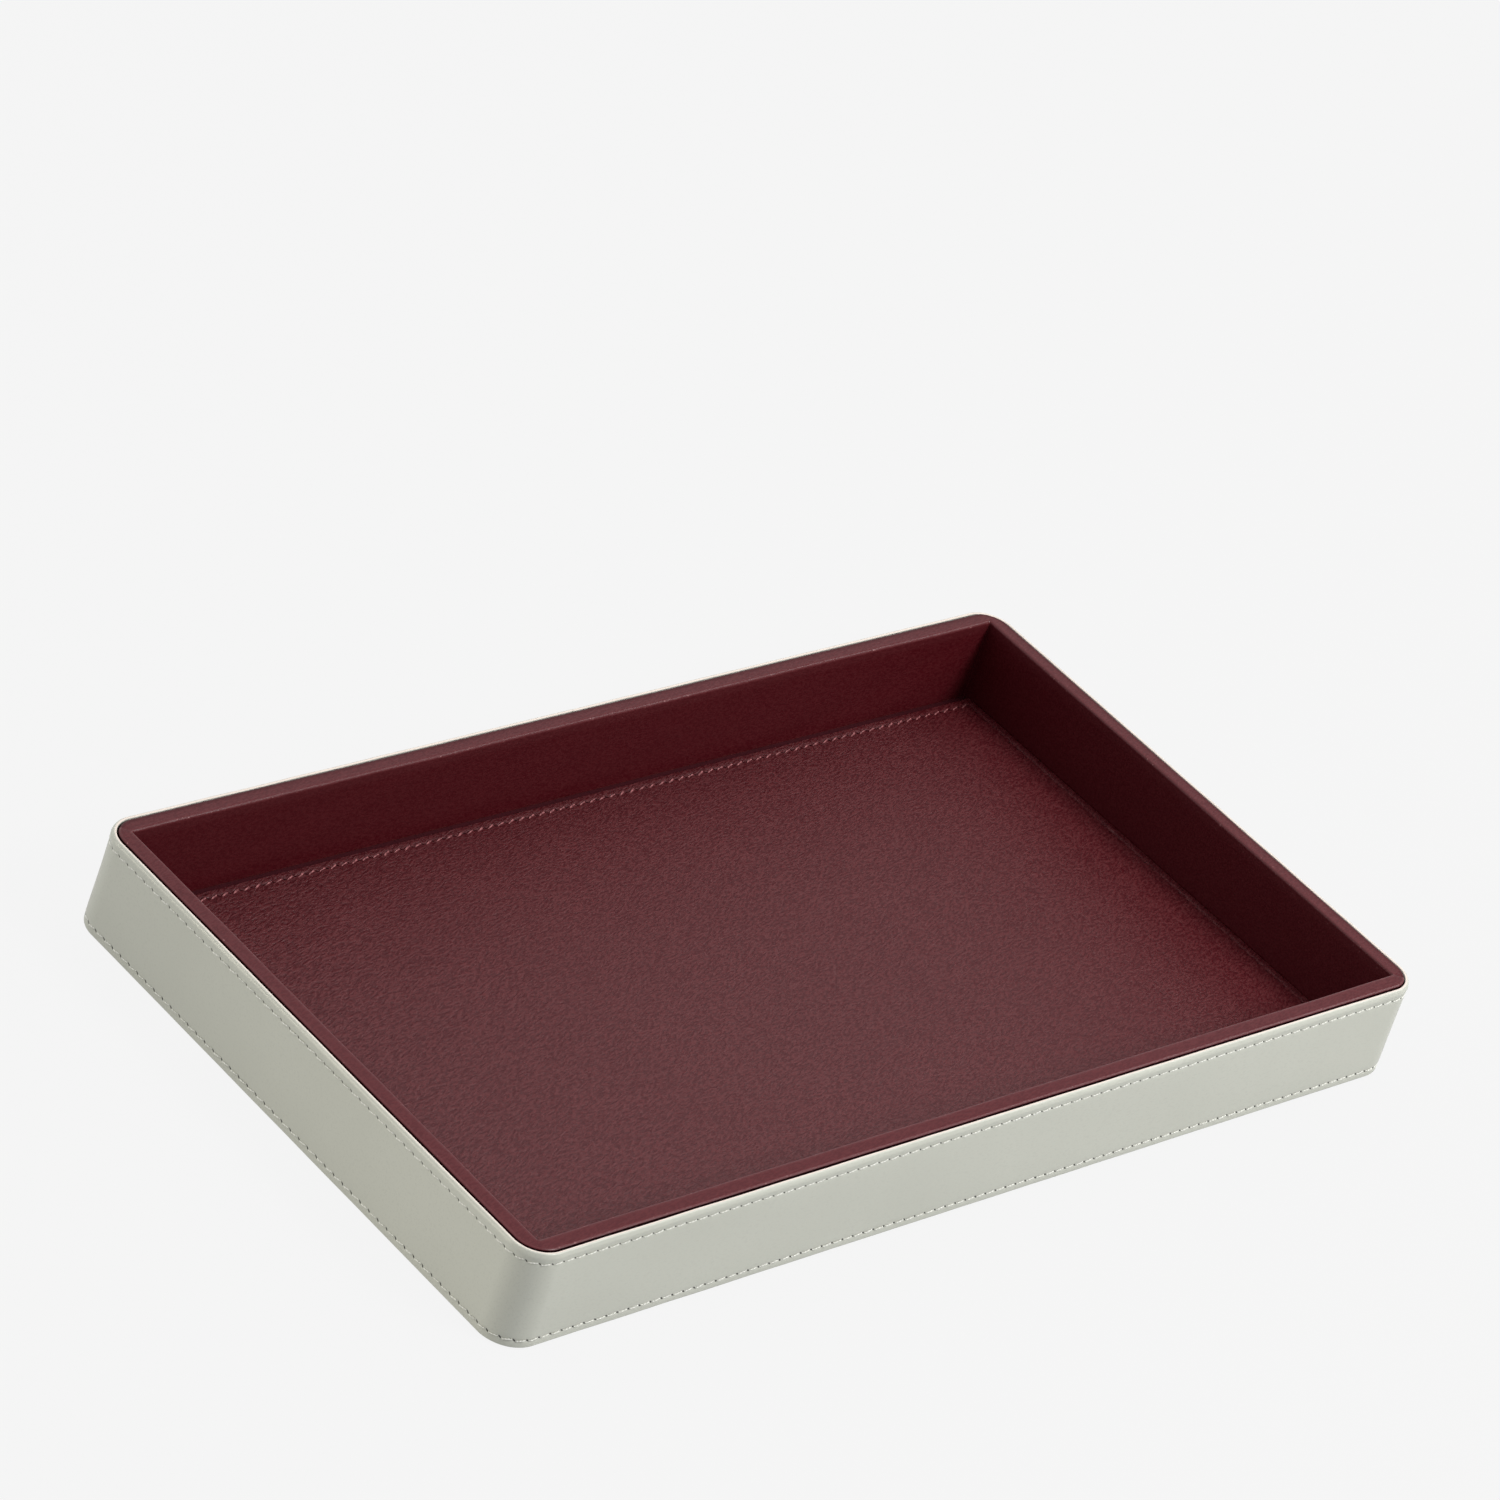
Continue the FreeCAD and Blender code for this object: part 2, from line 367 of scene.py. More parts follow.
def burgundy_leather(name, cell, depth, shine, dark, light, coarse=0.0, holes=None):
    """Deep red-brown leather: light lumps between dark creases, cloudy tone, satin face.

    The wear-and-highlight mark lightens the rim edges, partly as wear in broken specks and partly as a
    painted highlight. The edge-shade mark and the needle holes mix in a dark matt shader as painted shade.
    Coarse is how strongly it wrinkles towards the left end, and holes is a function that gives the needle
    holes as a wire.
    """
    material, shader, place = new_finish(name)
    lumps, pores = leather_grain(place, cell)
    clouds = place.noise(26 * mm, 4.0)
    wrinkles = leather_grain(place, 1.5 * cell)[0]
    wrinkled = place.axis("X").step(10 * mm, -130 * mm) * coarse
    creases = (lumps * 0.7 + pores * 0.3).step(0.43, 0.57) + (wrinkles.step(0.41, 0.59) - 0.5) * wrinkled
    creased = creases.tint(dark, light)
    cloudy = (clouds.step(0.3, 0.7) * 0.15).tint(creased, dark)
    # Paler rim edges and specks: partly wear, partly painted highlight.
    wear_and_highlight = place.mark("wear_and_highlight")
    lightened_edges = (wear_and_highlight * 0.4).tint(cloudy, wear_and_highlight_tone)
    specks = wear_and_highlight * place.noise(0.8 * mm, 2.0).step(0.66, 0.76)
    wear_and_highlight_colour = (specks * 0.6).tint(lightened_edges, speck_tone)
    # Painted shade: the edge-shade mark and the needle holes.
    shade = place.maths("MAXIMUM", place.mark("painted_edge_shade"), holes(place) if holes else 0.0)
    feed(shader, {
        "Base Color": wear_and_highlight_colour,
        "Roughness": 0.38 + pores * 0.1 - wear_and_highlight * 0.12,
        "Specular IOR Level": shine,
        "Normal": (lumps * 0.65 + pores * 0.35 + wrinkles * wrinkled).bump(0.9, depth),
    })
    # The dark matt shader that the painted shade mixes in.
    bare = {"Base Color": painted_shade_tone, "Roughness": 1.0, "Specular IOR Level": 0.0}
    painted_shade_bsdf = place.node("ShaderNodeBsdfPrincipled", {}, bare)
    face = Wire(place.tree, shader.outputs["BSDF"])
    mixed = place.node("ShaderNodeMixShader", {}, {0: shade, 1: face, 2: painted_shade_bsdf})
    place.tree.links.new(mixed.socket, place.tree.nodes["Material Output"].inputs["Surface"])
    return material


lining_leather = burgundy_leather(
    "burgundy_lining_leather", cell=0.5 * mm, depth=0.09 * mm, shine=0.24,
    dark=(0.0610, 0.0026, 0.0056, 1), light=(0.0805, 0.0086, 0.0116, 1),
)
for quarter_turns, side in enumerate(sides):
    lengthwise = quarter_turns % 2 == 0
    half_sizes = (tray_length / 2, tray_width / 2) if lengthwise else (tray_width / 2, tray_length / 2)
    # Painted shade only in the gap on the front and left, and further over the rim on the back and right.
    shade_knots = near_shade_knots if side in ("front", "left") else far_shade_knots
    lining, lining_marks = lining_points(*half_sizes, 11 + quarter_turns, shade_knots)
    lining = lining @ np.linalg.matrix_power(quarter_turn, quarter_turns)
    lining[..., 0] = settle(lining[..., 0])
    replaced = side + "_wall_lining"
    lay_tubes(side + "_lining", lining[None], lining_leather, replaced, lining_marks)


# The floor panel is a flat piece of the same leather with a sewn border: the seam pulls a shallow groove
# round it, with a slit at each end of each stitch and a soft edge. The slits are darkened as painted shade of
# the needle holes. It stops a little short of the back wall.

floor_low, floor_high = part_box("floor_leather")
floor_half_x = (floor_high.x - floor_low.x) / 2
floor_half_y = (floor_high.y - floor_low.y) / 2
floor_middle_y = (floor_high.y + floor_low.y) / 2
floor_top = floor_high.z
floor_row_inset = 2.4 * mm
stitch_pitch = 3.4 * mm
slit_half_length = 0.58 * mm
slit_half_width = 0.25 * mm
slit_cosine = 0.75
slit_sine = 0.66
long_row_slit = 0.85
short_row_slit = 0.7
border_rise = 0.05 * mm
seam_dip = 0.16 * mm
seam_pull = 0.06 * mm
seam_width = 0.5 * mm
floor_swell = 0.05 * mm
row_x = floor_half_x - floor_row_inset
row_y = floor_half_y - floor_row_inset


def even_pitch(length):
    """The pitch nearest to the machine's setting that divides a row into whole stitches."""
    return length / round(length / stitch_pitch)


def slits(along, off, pitch, size):
    """Slanted awl slits of a row, which the leathers darken as painted shade of the needle holes: an ellipse
    at every whole pitch, leaning down along the row.

    It is 1 where (length / half length)^2 + (width / half width)^2 is small, and 0 outside.
    """
    turns = along * (1 / pitch) + 0.5
    near = (along.maths("FRACT", turns) - 0.5) * pitch
    length = (near * slit_cosine - off * slit_sine) * (1 / (slit_half_length * size))
    width = (near * slit_sine + off * slit_cosine) * (1 / (slit_half_width * size))
    return (length * length + width * width).step(1.2, 0.3)


def floor_slits(place):
    """Slits of the four rows of the floor, measured from the middle of the panel."""
    x = place.axis("X")
    y = place.axis("Y") - floor_middle_y
    lengthwise = slits(x + row_x, place.maths("ABSOLUTE", y) - row_y, even_pitch(2 * row_x), long_row_slit)
    crosswise = slits(y + row_y, place.maths("ABSOLUTE", x) - row_x, even_pitch(2 * row_y), short_row_slit)
    return place.maths("MAXIMUM", lengthwise, crosswise)


def lines_across(half, row_half, pitch):
    """Grid lines from -half to half: four to each stitch, and closer ones at the border."""
    stitches = np.arange(-row_half, row_half - pitch / 2, pitch)
    lines = (stitches[:, None] + pitch * np.array([0, 0.25, 0.5, 0.75])).ravel()
    border = half - np.array([0, 0.02, 0.06, 0.15, 0.4, 0.8, 1.2, 1.6, 1.9, 2.15, 2.4]) * mm
    return np.sort(np.concatenate([lines[1:], border, -border]))


def floor_points():
    """Floor panel as rings round its thickness, one ring for each grid line along its length.

    The top's height falls off at the edge as a quarter circle, dips as a bell curve along the seam, deeper
    towards the ends of each stitch as a cosine, and swells a little inside the border.
    """
    pitch_x = even_pitch(2 * row_x)
    pitch_y = even_pitch(2 * row_y)
    x = lines_across(floor_half_x, row_x, pitch_x)[:, None]
    y = lines_across(floor_half_y, row_y, pitch_y)[None, :]
    past_x = floor_half_x - np.abs(x)
    past_y = floor_half_y - np.abs(y)
    edge = np.minimum(past_x, past_y)
    bend = 0.15 * mm
    rounding = bend - np.sqrt(np.clip(bend ** 2 - np.clip(bend - edge, 0, bend) ** 2, 0, None))
    border = border_rise * np.exp(-((edge - 1.2 * mm) / (0.6 * mm)) ** 2)
    border *= 1 + waver(x + 1.7 * y, 5, 38 * mm, 0.8)
    pull = np.where(past_x < past_y, np.cos(2 * np.pi * (y + row_y) / pitch_y),
                    np.cos(2 * np.pi * (x + row_x) / pitch_x))
    seam = (seam_dip + seam_pull * pull) * np.exp(-((edge - floor_row_inset) / seam_width) ** 2)
    swell = floor_swell * (waver(x + 0.4 * y, 6, 70 * mm, 1) * waver(y - 0.3 * x, 7, 60 * mm, 1))
    swell *= np.clip((edge - floor_row_inset) / (12 * mm), 0, 1)
    top = floor_top - rounding + border - seam + swell
    upper = np.stack(np.broadcast_arrays(settle(x), y + floor_middle_y, top), axis=-1)
    lower = upper[:, [-1, 0]].copy()
    lower[..., 2] = floor_low.z
    return np.concatenate([upper, lower], axis=1)


floor_leather = burgundy_leather(
    "burgundy_floor_leather", cell=0.5 * mm, depth=0.50 * mm, shine=0.285,
    dark=(0.0500, 0.0002, 0.0028, 1), light=(0.0885, 0.0132, 0.0158, 1), coarse=0.85, holes=floor_slits,
)
lay_tubes("floor_panel", floor_points()[None], floor_leather, "floor_leather")


# The floor seam is one thread of the leather's own colour, a little shinier, in slanted stitches, with its
# plies painted paler than the leather as a painted highlight.
# Each stitch comes up out of one needle hole and goes down into the next. The short rows lie deeper.

floor_thread_radius = 0.22 * mm
floor_slant_degrees = 20.0
long_seam_depth = 0.18 * mm
short_seam_depth = 0.50 * mm


def stitch_shape(pitch, slant_degrees, thread_radius):
    """One stitch as rings: distance along the row, sideways, and height above the leather.

    The middle of the thread is level and then drops into the leather as t^6, with t from -1 to 1 along the
    stitch. It leans by the slant from one end to the other, and thins to about half at its ends as t^4.
    """
    t = np.linspace(-1, 1, 7)[:, None]
    round_angle = np.linspace(0, 2 * np.pi, 8, endpoint=False)[None, :]
    half = pitch / 2 - 0.12 * mm
    thin = thread_radius * (1 - 0.45 * t ** 4)
    rise = thread_radius * 0.55 - 0.55 * mm * t ** 6
    sideways = half * np.tan(np.radians(slant_degrees)) * t + thin * np.cos(round_angle)
    height = rise + thin * np.sin(round_angle)
    return np.broadcast_to(half * t, height.shape), sideways, height


def sewn_row(pitch, count, seed, thread_radius, slant_degrees):
    """A row of stitches as (distance along, sideways, height) arrays of stitches by rings by places.

    Stitch k lies between k and k + 1 pitches, and each leans, lifts and shifts a little by chance.
    """
    along, sideways, height = stitch_shape(pitch, slant_degrees, thread_radius)
    draw = np.random.default_rng(seed)
    lean = draw.normal(1, 0.18, (count, 1, 1))
    lift = draw.normal(0, 0.025 * mm, (count, 1, 1))
    shift = draw.normal(0, 0.04 * mm, (count, 1, 1))
    start = (np.arange(count)[:, None, None] + 0.5) * pitch
    return start + along + shift, sideways * lean, height + lift


def sewing_thread(name, pale, dark, roughness, shine):
    """Twisted thread: slanting plies as stripes across the coordinates, each ply round and a little fuzzy."""
    material, shader, place = new_finish(name)
    tilted = place.node("ShaderNodeMapping", {}, {"Vector": place, "Rotation": (0.6, 0.5, 0.9)})
    plies = place.node(
        "ShaderNodeTexWave", {"wave_type": "BANDS", "bands_direction": "X"},
        {"Vector": tilted, "Scale": 0.5 / mm, "Distortion": 0.6, "Detail": 1.0}, "Fac",
    )
    fuzz = place.noise(0.15 * mm)
    feed(shader, {
        "Base Color": plies.tint(dark, pale),
        "Roughness": roughness + fuzz * 0.1,
        "Specular IOR Level": shine,
        "Normal": (plies * 0.8 + fuzz * 0.2).bump(0.5, 0.08 * mm),
    })
    return material


def floor_seam():
    """Stitches round the floor: a straight row along each side, turned by quarter turns about the middle."""
    rows = []
    for quarter_turns in range(4):
        lengthwise = quarter_turns % 2 == 0
        half_run, out = (row_x, row_y) if lengthwise else (row_y, row_x)
        seam_level = floor_top - (long_seam_depth if lengthwise else short_seam_depth)
        pitch = even_pitch(2 * half_run)
        count = round(2 * half_run / pitch)
        stitches = sewn_row(pitch, count, 31 + quarter_turns, floor_thread_radius, floor_slant_degrees)
        along, sideways, height = stitches
        points = np.stack([along - half_run, sideways - out, seam_level + height], axis=-1)
        rows.append(points @ np.linalg.matrix_power(quarter_turn, quarter_turns))
    rows = np.concatenate(rows)
    return np.stack([settle(rows[..., 0]), rows[..., 1] + floor_middle_y, rows[..., 2]], axis=-1)


# The pale ply colours are a painted highlight on the thread.
burgundy_thread = sewing_thread(
    "burgundy_thread", pale=(0.36, 0.130, 0.134, 1), dark=(0.16, 0.046, 0.051, 1), roughness=0.45, shine=0.4,
)
lay_tubes("floor_seam", floor_seam(), burgundy_thread, "floor_stitching")


# The band's stiffener is a thin strip of bonded leather fibre inside the folded band, which wholly covers it.
# It is cut to the band's length, so its ends meet at the middle of the back too.

seam_gap = 0.2 * mm
band_lift = band_low.z


def round_outline(distance):
    """Place and outward direction at a distance along the band's outer face.

    The distance starts at the middle of the back and goes leftwards. Straight runs and quarter circles follow
    each other. On a run the place moves along the heading h, and on a circle of radius r it moves by
    r (sin h - sin h0, cos h0 - cos h) as the heading turns from h0 to h.
    """
    quarter = corner_radius * np.pi / 2
    long_run = tray_length - 2 * corner_radius
    short_run = tray_width - 2 * corner_radius
    lengths = np.array([long_run, quarter, short_run, quarter] * 2 + [long_run])
    lengths[[0, -1]] /= 2
    turning = np.arange(len(lengths)) % 2
    heading = np.pi + np.pi / 2 * (np.arange(len(lengths)) // 2)
    heading_after = heading + turning * np.pi / 2
    swept_x = corner_radius * (np.sin(heading_after) - np.sin(heading))
    swept_y = corner_radius * (np.cos(heading) - np.cos(heading_after))
    step_x = np.where(turning, swept_x, lengths * np.cos(heading))
    step_y = np.where(turning, swept_y, lengths * np.sin(heading))
    start = np.cumsum(lengths) - lengths
    start_x = np.cumsum(step_x) - step_x
    start_y = tray_width / 2 + np.cumsum(step_y) - step_y
    part = np.clip(np.searchsorted(start, distance, side="right") - 1, 0, len(lengths) - 1)
    past = distance - start[part]
    h0 = heading[part]
    h = h0 + past * turning[part] / corner_radius
    bent = turning[part] == 1
    x = start_x[part] + np.where(bent, corner_radius * (np.sin(h) - np.sin(h0)), past * np.cos(h0))
    y = start_y[part] + np.where(bent, corner_radius * (np.cos(h0) - np.cos(h)), past * np.sin(h0))
    return np.stack([x, y], axis=-1), np.stack([np.sin(h), -np.cos(h)], axis=-1)


def on_band(distance, out, height):
    """Points at a distance along the band, standing out from its outer face, at a height."""
    place, outward = round_outline(distance)
    flat = place + outward * out[..., None]
    return np.concatenate([flat, np.broadcast_to(height, out.shape)[..., None]], axis=-1)


band_run = 2 * (tray_length + tray_width) - (8 - 2 * np.pi) * corner_radius
band_stitches = round((band_run - seam_gap) / stitch_pitch)
band_pitch = (band_run - seam_gap) / band_stitches


def stiffener_points():
    """Plain strip as rings round its section, two rings to each stitch of the band."""
    distance = seam_gap / 2 + np.arange(2 * band_stitches + 1)[:, None] * band_pitch / 2
    out = np.array([-1.25, -0.95, -0.95, -1.25]) * mm
    height = np.repeat([band_lift + 0.8 * mm, band_top - 1.6 * mm], 2)
    spread, out = np.broadcast_arrays(distance, out)
    return on_band(spread, out, height)


bonded_fibre = pressed_fibre("bonded_fibre", (0.46, 0.36, 0.26, 1), (0.30, 0.22, 0.15, 1), 0.9 * mm)
lay_tubes("stiffener_strip", stiffener_points()[None], bonded_fibre, "band_stiffener")


# The outer band is one strip of smooth bone leather round all four sides, folded over at the top and the
# bottom. The two seams draw it in, so each folded edge is a soft roll. Its ends butt together at the middle
# of the back.

band_draft = 0.5 * mm
fold_radius = 0.25 * mm
# Paler tone of the crest: a painted highlight.
crest_highlight_tone = (0.70, 0.605, 0.54, 1)
# Near-black painted shade of the band's needle slits.
slit_shade_tone = (0.03, 0.028, 0.022, 1)
row_slit_sizes = (1.02, 0.82)
groove_depth = 0.09 * mm
groove_pull = 0.05 * mm
groove_width = 0.40 * mm
drawn_depth = 0.06 * mm
drawn_width = 0.95 * mm
roll_height = 0.07 * mm
roll_offset = 1.75 * mm
roll_width = 0.75 * mm
rows_at = (band_lift + 2.1 * mm, band_top - 2.9 * mm)


def draft_at(height):
    """How far the outer face leans in at a height: evenly from none at the lower seam."""
    return band_draft * np.clip((height - rows_at[0]) / (rows_at[1] - rows_at[0]), 0, 1)


def band_section():
    """Section of the folded band as (out from the face, height), and how far the seams shape each point.

    The face leans in evenly by the draft up to the upper seam. Above it the face rolls back slowly to 22
    degrees, faster to level, and turns down again, a little off the wall. Each point there is the sum of the
    short steps before it: out by -sin and up by cos of the slope. The lower fold is a tight turn. A third
    value marks the crest, which is painted paler as a painted highlight.
    """
    counts = np.array([12, 7, 2, 5])
    reaches = np.array([1.5, 0.6, 0.12, 0.45]) * mm
    bends = zip((0, 28, 90, 99), (22, 88, 90, 171), counts)
    slope = np.radians(np.concatenate([np.linspace(first, last, count) for first, last, count in bends]))
    step = np.repeat(reaches / counts, counts)
    rise = np.cumsum(step * np.cos(slope))
    upper = np.stack([-band_draft - np.cumsum(step * np.sin(slope)), band_top - rise.max() + rise], axis=1)
    near_row = np.array([-0.8, -0.5, -0.24, 0, 0.24, 0.5, 0.8]) * mm
    between_rows = np.linspace(rows_at[0] + 1.6 * mm, rows_at[1] - 1.6 * mm, 10)
    face_heights = np.concatenate([rows_at[0] + near_row, between_rows, rows_at[1] + near_row])
    face = np.stack([-draft_at(face_heights), face_heights], axis=1)
    hem = band_lift + 0.1 * mm
    lower_outer = arc((-fold_radius, hem + fold_radius), fold_radius, -90, 0, 5)
    lower_inner = arc((-band_thickness + fold_radius, hem + fold_radius), fold_radius, 180, 270, 3)
    glued = np.array([
        (-1.68 * mm, band_top - 1.0 * mm),
        (-band_thickness, band_top - 2.4 * mm),
        (-band_thickness, hem + 2.4 * mm),
    ])
    section = np.vstack([lower_outer, face, upper, glued, lower_inner])
    roll_start = len(lower_outer) + len(face)
    shaped = np.zeros(len(section))
    shaped[len(lower_outer):roll_start + counts[0] - 1] = 1
    crest = np.zeros(len(section))
    crest[roll_start:roll_start + len(upper)] = np.interp(np.degrees(slope), [62, 90, 130, 150], [0, 1, 1, 0])
    return section, shaped, crest


def band_points():
    """Folded band as rings round its section, six rings to each stitch.

    The height above the outer face dips as a bell curve along each seam, a little deeper towards the ends of
    each stitch as a cosine, and swells between the seam and the fold. Marks carry the distance along the band
    and the crest's painted highlight.
    """
    section, shaped, crest = band_section()
    out, height = section.T
    distance = np.arange(6 * band_stitches + 1)[:, None] * band_pitch / 6
    pull = np.cos(2 * np.pi * distance / band_pitch)
    dip = 0
    for row, side in zip(rows_at, (-1, 1)):
        off = height - row
        dip = dip + (groove_depth + groove_pull * pull) * np.exp(-(off / groove_width) ** 2)
        dip = dip + drawn_depth * np.exp(-(off / drawn_width) ** 2)
        dip = dip - roll_height * np.exp(-((off - side * roll_offset) / roll_width) ** 2)
    lie = waver(distance + 4 * height, 21, 85 * mm, 0.05 * mm)
    out = out + shaped * (lie - dip)
    edge_share = np.abs(height / band_top - 0.5) * 2
    drift = waver(distance, 22, 70 * mm, 0.08 * mm)
    rise = height - edge_share ** 4 * np.abs(drift)
    spread = np.broadcast_to(distance, out.shape)
    marks = {"along": spread, "crest": np.broadcast_to(crest, out.shape)}
    return on_band(spread + seam_gap / 2, out, rise), marks


def bone_leather(name):
    """Pale grey-green bone leather: satin face with fine pores, cloudy tone, a crest painted paler as a
    painted highlight, and dark slits in both rows that are painted shade of the needle holes.
    """
    material, shader, place = new_finish(name)
    lumps, pores = leather_grain(place, 0.5 * mm)
    clouds = place.noise(38 * mm, 4.0)
    tone = clouds.step(0.3, 0.7).tint((0.490, 0.498, 0.437, 1), (0.510, 0.518, 0.456, 1))
    creased = lumps.step(0.3, 0.5).tint((0.475, 0.482, 0.424, 1), tone)
    along = place.mark("along")
    # The slits are painted shade of the needle holes.
    rows = [slits(along, place.axis("Z") - (row + 0.05 * mm), band_pitch, size)
            for row, size in zip(rows_at, row_slit_sizes)]
    # Painted highlight on the crest.
    lightened_edges = place.mark("crest").tint(creased, crest_highlight_tone)
    feed(shader, {
        "Base Color": place.maths("MAXIMUM", *rows).tint(lightened_edges, slit_shade_tone),
        "Roughness": 0.30 + pores * 0.1,
        "Specular IOR Level": 0.5,
        "Normal": (lumps * 0.6 + pores * 0.4).bump(0.5, 0.04 * mm),
    })
    return material


band_grid, band_marks = band_points()
band_finish = bone_leather("bone_leather")
lay_tubes("outer_band_leather", band_grid[None], band_finish, "outer_band", band_marks)


# The two seams of the band are off-white thread, a little paler than the leather, sewn before the band is
# glued on. Their stitches slant the same way all round the tray.

band_thread_radius = 0.16 * mm
band_slant_degrees = 9.0
band_thread_sink = 0.12 * mm
bone_thread = sewing_thread(
    "bone_thread", pale=(0.78, 0.78, 0.725, 1), dark=(0.58, 0.58, 0.535, 1), roughness=0.46, shine=0.6,
)
for row, name, seed in ((rows_at[0], "bottom", 41), (rows_at[1], "top", 42)):
    stitches = sewn_row(band_pitch, band_stitches, seed, band_thread_radius, band_slant_degrees)
    along, sideways, height = stitches
    thread = on_band(along + seam_gap / 2, height - band_thread_sink - draft_at(row), row + sideways)
    lay_tubes("band_" + name + "_seam", thread, bone_thread, "band_" + name + "_stitching")


# The underside is a thin panel of dark suede glued under the base board, just inside the band's lower fold.
# The tray rests on it, and its cut edge is slightly rounded.

under_low, under_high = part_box("underside_cover")


def underside_points():
    """Flat panel with rounded corners as rings across its length, each ring going round its thickness.

    At a distance x from the middle the panel is as wide as a rounded rectangle is there.
    """
    half_x = under_high.x
    half_y = under_high.y
    radius = corner_radius - band_thickness - 0.3 * mm
    bend = np.radians(np.linspace(90, 4, 16))
    ends = half_x - radius + radius * np.cos(bend)
    x = np.concatenate([-ends[::-1], np.linspace(-ends[0], ends[0], 60)[1:-1], ends])[:, None]
    past = np.clip(np.abs(x) - (half_x - radius), 0, radius)
    width = half_y - radius + np.sqrt(radius ** 2 - past ** 2)
    softening = 0.15 * mm
    around = np.linspace(-1, 1, 30)
    lower = np.stack([around, np.full(len(around), under_low.z)], axis=1)
    upper = np.stack([-around, np.full(len(around), under_high.z)], axis=1)
    share, level = np.vstack([lower, upper]).T
    y = share * (width - softening * (level < under_high.z))
    return np.stack([np.broadcast_to(x, y.shape), y, np.broadcast_to(level, y.shape)], axis=-1)


def suede(name, light, dark):
    """Short napped suede: brushed tone in soft patches, matte, with a fine fibrous face."""
    material, shader, place = new_finish(name)
    nap = place.noise(0.35 * mm, 4.0)
    brushed = place.noise(18 * mm, 3.0).step(0.35, 0.65)
    feed(shader, {
        "Base Color": (brushed * 0.6 + nap * 0.4).tint(dark, light),
        "Roughness": 0.88 + nap * 0.1,
        "Sheen Weight": 0.3,
        "Normal": nap.bump(0.6, 0.12 * mm),
    })
    return material


dark_suede = suede("dark_suede", light=(0.085, 0.02, 0.024, 1), dark=(0.05, 0.011, 0.014, 1))
lay_tubes("underside_suede", underside_points()[None], dark_suede, "underside_cover")


# The stage: a wide pale table that glows a little, a softbox at the right of the camera, a weaker one at the
# right of the tray, a low spotlight on the left wall, and a sky with a pale backdrop low at the back and a
# bright patch overhead.

background = 0.913
sky_light = 0.22
sky_backdrop = 0.89
sky_crown = 1.15
floor_reach = 6.0
floor_level = -0.1 * mm
floor_bounce = 0.35
floor_glow = 0.5
floor_light = 1.35
shadow_share = 0.05


def stage_floor():
    """Pale table: partly matte and partly glowing to the tray, and mostly its own pale tone to the camera.

    Its level is a hair below the tray, and it is clear from below, so that the underside can be seen.
    """
    mesh = bpy.data.meshes.new("stage_floor")
    r = floor_reach
    z = floor_level
    mesh.from_pydata([(-r, -r, z), (r, -r, z), (r, r, z), (-r, r, z)], [], [(0, 1, 2, 3)])
    plane = bpy.data.objects.new("stage_floor", mesh)
    bpy.context.scene.collection.objects.link(plane)
    material, shader, place = new_finish("pale_floor")
    feed(shader, {"Base Color": (floor_bounce,) * 3 + (1,), "Roughness": 1.0, "Specular IOR Level": 0.0})
    tree = material.node_tree
    own_tone = (background - shadow_share * floor_bounce * floor_light) / (1 - shadow_share)
    glow = place.node("ShaderNodeEmission", {}, {"Color": (own_tone,) * 3 + (1,)})
    seen = place.node("ShaderNodeLightPath", {}, {}, "Is Camera Ray")
    body = Wire(tree, shader.outputs["BSDF"])
    share = seen * (1 - shadow_share) + (1 - seen) * floor_glow
    mixed = place.node("ShaderNodeMixShader", {}, {0: share, 1: body, 2: glow})
    below = place.node("ShaderNodeNewGeometry", {}, {}, "Backfacing")
    clear = place.node("ShaderNodeBsdfTransparent", {}, {})
    faced = place.node("ShaderNodeMixShader", {}, {0: below, 1: mixed, 2: clear})
    tree.links.new(faced.socket, tree.nodes["Material Output"].inputs["Surface"])
    mesh.materials.append(material)


stage_floor()

world = bpy.data.worlds.new("pale_sky")
world.use_nodes = True
bpy.context.scene.world = world
sky = world.node_tree.nodes["Background"]
light_path = Wire(world.node_tree, world.node_tree.nodes.new("ShaderNodeLightPath").outputs["Is Camera Ray"])
direction = light_path.node("ShaderNodeTexCoord", {}, {}, "Generated")
backdrop = direction.axis("Y").step(-0.2, 0.4) * direction.axis("Z").step(0.70, 0.34)
overhead = direction.axis("Z") * 0.966 + direction.axis("Y") * 0.26
shed = sky_light + backdrop * sky_backdrop + overhead.step(0.64, 0.92) * sky_crown
feed(sky, {"Color": (1, 1, 1, 1), "Strength": light_path * background + (1 - light_path) * shed})


def bearing(azimuth, elevation):
    """Direction from the tray, in radians. Azimuth 0 is at the front, and a quarter turn is at the right."""
    level = np.cos(elevation)
    return np.array([np.sin(azimuth) * level, -np.cos(azimuth) * level, np.sin(elevation)])


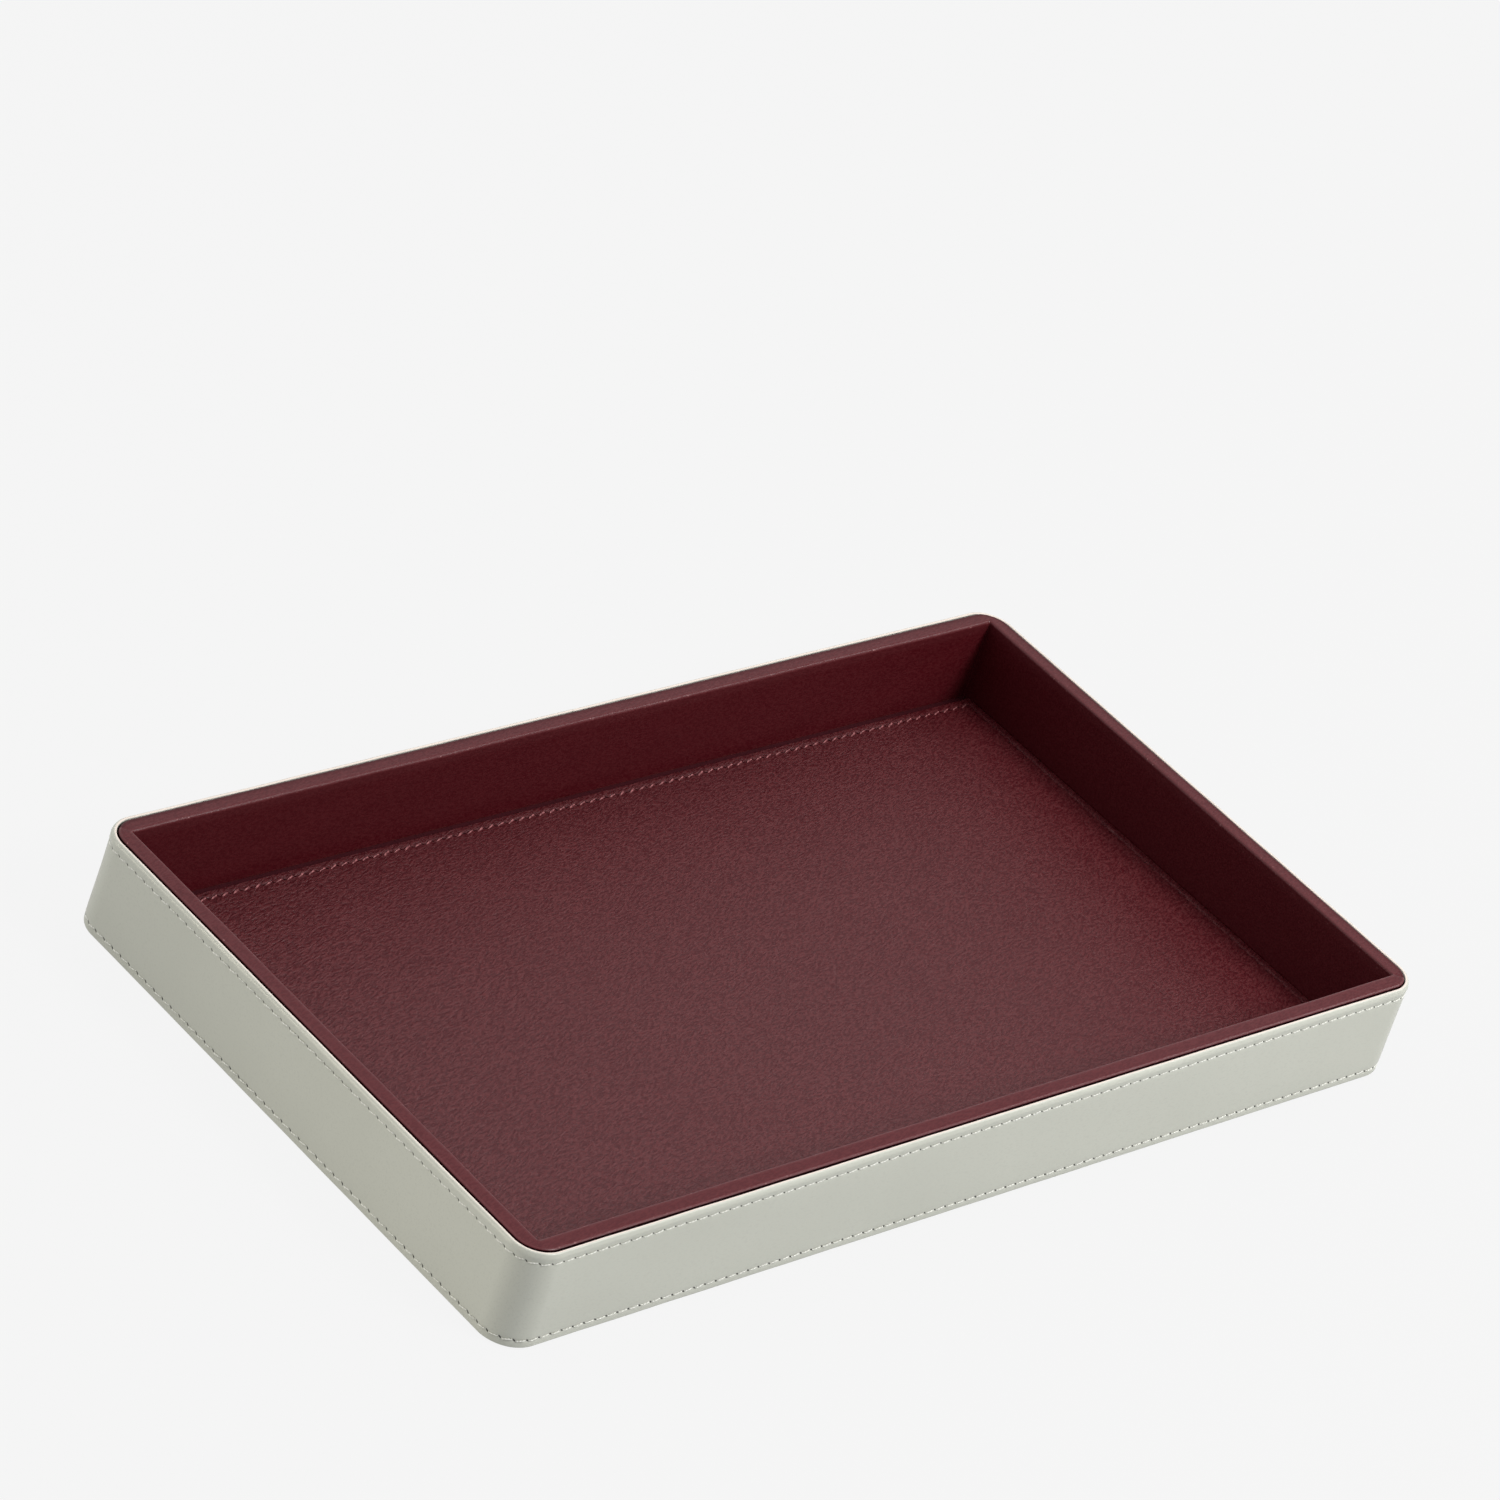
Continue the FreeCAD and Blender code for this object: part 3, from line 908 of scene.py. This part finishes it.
def side_lamp(name, kind, azimuth_degrees, elevation_degrees, strength, distance, aim=(0.0, 0.0, 0.0)):
    """A lamp that shines at a point from a bearing and a distance."""
    lamp = bpy.data.lights.new(name, kind)
    lamp.energy = strength
    holder = bpy.data.objects.new(name, lamp)
    bpy.context.scene.collection.objects.link(holder)
    azimuth = np.radians(azimuth_degrees)
    elevation = np.radians(elevation_degrees)
    holder.location = np.array(aim) + distance * bearing(azimuth, elevation)
    holder.rotation_euler = (np.pi / 2 - elevation, 0, azimuth)
    return lamp


softbox = side_lamp("softbox_right", "AREA", 25, 46, strength=17.9, distance=1.5)
softbox.shape = "SQUARE"
softbox.size = 0.46
side_box = side_lamp("softbox_side", "AREA", 75, 38, strength=8.0, distance=2.0)
side_box.shape = "SQUARE"
side_box.size = 0.6
spot = side_lamp("spot_left", "SPOT", 230, 1.5, strength=33.5, distance=1.5, aim=(-0.15, -0.085, 0.0))
spot.color = (1.0, 0.93, 0.76)
spot.spot_size = np.radians(14)
spot.spot_blend = 1.0
spot.shadow_soft_size = 0.1


# The camera stands to the left of the front, looks down on the tray and is rolled a little.
# Its place and its lens follow from the perspective of the tray's straight edges.

camera_place = (-1.08526, -0.84236, 0.93313)
camera_azimuth = np.radians(-51.343)
camera_elevation = np.radians(32.239)
camera_roll = np.radians(-19.486)
focal_pixels = 6752.5
frame_pixels = 1500
sensor_width = 36.0


def camera_axes(azimuth, elevation, roll):
    """Columns right, up and back: back points to the camera, and roll turns right towards down."""
    back = bearing(azimuth, elevation)
    right = np.cross(-back, (0, 0, 1))
    right /= np.linalg.norm(right)
    down = np.cross(-back, right)
    turned_right = np.cos(roll) * right + np.sin(roll) * down
    turned_down = -np.sin(roll) * right + np.cos(roll) * down
    return np.stack([turned_right, -turned_down, back], axis=1)


lens = bpy.data.cameras.new("camera")
lens.sensor_width = sensor_width
lens.lens = focal_pixels / frame_pixels * sensor_width
camera = bpy.data.objects.new("camera", lens)
bpy.context.scene.collection.objects.link(camera)
stand = np.eye(4)
stand[:3, :3] = camera_axes(camera_azimuth, camera_elevation, camera_roll)
stand[:3, 3] = camera_place
camera.matrix_world = stand.T.tolist()
bpy.context.scene.camera = camera
bpy.context.scene.view_settings.view_transform = "Standard"
